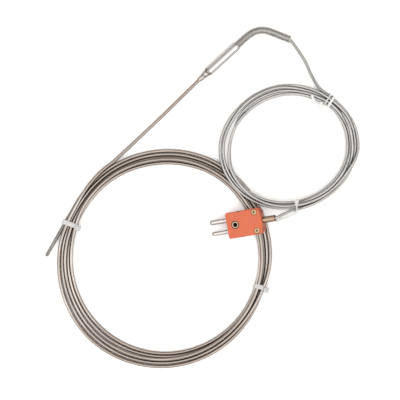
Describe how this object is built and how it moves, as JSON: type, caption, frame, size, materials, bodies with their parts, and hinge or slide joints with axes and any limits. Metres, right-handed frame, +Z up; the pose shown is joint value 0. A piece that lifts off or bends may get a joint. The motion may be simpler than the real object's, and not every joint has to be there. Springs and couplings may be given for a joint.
{
  "type": "sheathed thermocouple",
  "caption": "Mineral-insulated thermocouple probe, coiled, with a transition pot, relief spring, coiled braided lead and an orange round-pin plug.",
  "frame": {"origin": "under the middle of the bounding box of the probe assembly (sheath coil, tip, pot and spring, without the flexible lead and its plug), on the surface it lies on", "axes": "+Z up from the surface; +Y from the sheath coil towards the pot and spring; +X from the probe tip towards the plug's lead coil"},
  "size_m": [0.3072, 0.3333, 0.0262],
  "materials": {
    "sheath_steel": "drawn stainless sheath, satin, slightly warm from annealing",
    "tip_steel": "darker, heat-tinted satin stainless",
    "polished_steel": "polished stainless",
    "spring_steel": "bright spring wire, close wound",
    "steel_braid": "woven stainless wire braid",
    "brass": "machined brass",
    "pin_alloy": "bright thermocouple-compensating alloy",
    "eyelet_metal": "nickel-plated eyelet",
    "thermo_alloy": "thermocouple wire",
    "mineral_powder": "compacted magnesium oxide",
    "potting_resin": "cast epoxy",
    "wire_insulation": "glass-fibre wire insulation",
    "orange_thermoplastic": "satin moulded glass-filled thermoplastic",
    "clear_nylon": "natural translucent nylon",
    "white_plastic": "white plastic-coated tie wire"
  },
  "bodies": {
    "root": {"sheath_coil": "sheath_steel", "sheath_run": "sheath_steel", "tip_sheath": "tip_steel", "tip_end_cap": "tip_steel", "tip_mineral_core": "mineral_powder", "tip_conductor_positive": "thermo_alloy", "tip_conductor_negative": "thermo_alloy", "measuring_junction": "thermo_alloy", "neck_reducer": "sheath_steel", "pot_sleeve": "polished_steel", "lead_bush": "brass", "potting_compound": "potting_resin", "splice_positive": "brass", "splice_negative": "brass", "splice_tail_positive": "thermo_alloy", "splice_tail_negative": "thermo_alloy", "lead_core_positive": "wire_insulation", "lead_core_negative": "wire_insulation", "relief_spring": "spring_steel", "lead_run": "steel_braid", "lead_coil": "steel_braid", "lead_tail": "steel_braid", "twist_tie_upper": "white_plastic", "twist_tie_lower": "white_plastic", "cable_tie_left": "clear_nylon", "cable_tie_right": "clear_nylon", "plug_base": "orange_thermoplastic", "pin_negative": "pin_alloy", "pin_positive": "pin_alloy", "wire_clamp_negative": "pin_alloy", "wire_clamp_positive": "pin_alloy", "terminal_wire_negative": "wire_insulation", "terminal_wire_positive": "wire_insulation", "screw_insert_left": "brass", "screw_insert_right": "brass", "cable_ferrule": "brass"},
    "cover": {"plug_cover": "orange_thermoplastic", "eyelet": "eyelet_metal"},
    "cover_screw_left": {"cover_screw_left": "brass"},
    "cover_screw_right": {"cover_screw_right": "brass"},
    "terminal_screw_negative": {"terminal_screw_negative": "brass"},
    "terminal_screw_positive": {"terminal_screw_positive": "brass"}
  },
  "joints": [
    {"name": "cover_lift", "type": "slide", "parent": "root", "child": "cover", "axis": [-0.2961, -0.0522, 0.9537], "range_m": [0, 0.016]},
    {"name": "cover_screw_left_turn", "type": "hinge", "parent": "cover", "child": "cover_screw_left", "pos_m": [0.08337, -0.01458, 0.02366], "axis": [-0.2961, -0.0522, 0.9537], "continuous": true},
    {"name": "cover_screw_right_turn", "type": "hinge", "parent": "cover", "child": "cover_screw_right", "pos_m": [0.08657, -0.0327, 0.02366], "axis": [-0.2961, -0.0522, 0.9537], "continuous": true},
    {"name": "terminal_screw_negative_turn", "type": "hinge", "parent": "root", "child": "terminal_screw_negative", "pos_m": [0.07374, -0.01999, 0.01649], "axis": [-0.2961, -0.0522, 0.9537], "continuous": true},
    {"name": "terminal_screw_positive_turn", "type": "hinge", "parent": "root", "child": "terminal_screw_positive", "pos_m": [0.07566, -0.03092, 0.01649], "axis": [-0.2961, -0.0522, 0.9537], "continuous": true}
  ]
}
